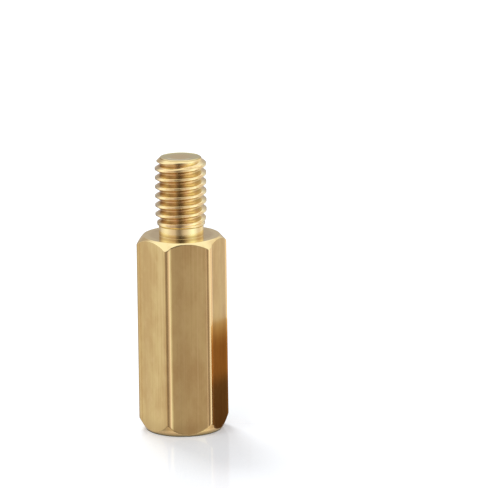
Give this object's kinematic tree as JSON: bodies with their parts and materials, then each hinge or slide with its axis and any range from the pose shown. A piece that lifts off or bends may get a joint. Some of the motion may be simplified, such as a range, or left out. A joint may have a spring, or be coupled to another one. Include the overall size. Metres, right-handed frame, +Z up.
{
  "type": "hex standoff",
  "caption": "Hexagonal brass spacer with a threaded stud on its top end and a tapped blind hole in its bottom end, for holding a board or panel clear of what it is fixed to.",
  "frame": {"origin": "middle of the tapped end face, which the part stands on", "axes": "+Z up the part's axis, from the tapped end to the stud's tip; -Y is the outward normal of one flat of the hexagon and +X points at a corner"},
  "size_m": [0.0068, 0.006, 0.021],
  "materials": {
    "brass": "drawn flats, turned ends, lightly polished"
  },
  "bodies": {
    "root": {"standoff": "brass"}
  },
  "joints": []
}
